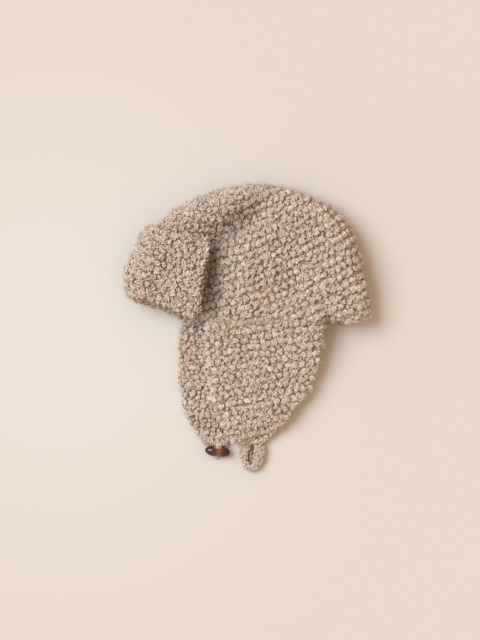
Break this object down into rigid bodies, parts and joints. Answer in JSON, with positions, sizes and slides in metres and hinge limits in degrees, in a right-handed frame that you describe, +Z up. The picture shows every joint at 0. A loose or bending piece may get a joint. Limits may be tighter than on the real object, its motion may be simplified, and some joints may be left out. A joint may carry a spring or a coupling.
{
  "type": "earflap hat",
  "caption": "Chunky knitted earflap hat lying on its side, with a turned-up front peak, tapering ear flaps, a polished wooden toggle and a knitted button loop.",
  "frame": {"origin": "middle of the underside of the hat's box, on the surface that it lies on", "axes": "+X towards the back of the hat, +Y towards the top of the crown, +Z up from the surface, through the wearer's left side"},
  "size_m": [0.2978, 0.3458, 0.0521],
  "materials": {
    "boucle_knit": "oatmeal boucle yarn in garter stitch",
    "toggle_wood": "polished dark wood",
    "tie_yarn": "oatmeal yarn"
  },
  "bodies": {
    "root": {"crown": "boucle_knit", "front_peak": "boucle_knit", "ear_flap_left": "boucle_knit", "ear_flap_right": "boucle_knit", "button_loop": "boucle_knit", "toggle": "toggle_wood", "toggle_tie": "tie_yarn"}
  },
  "joints": []
}
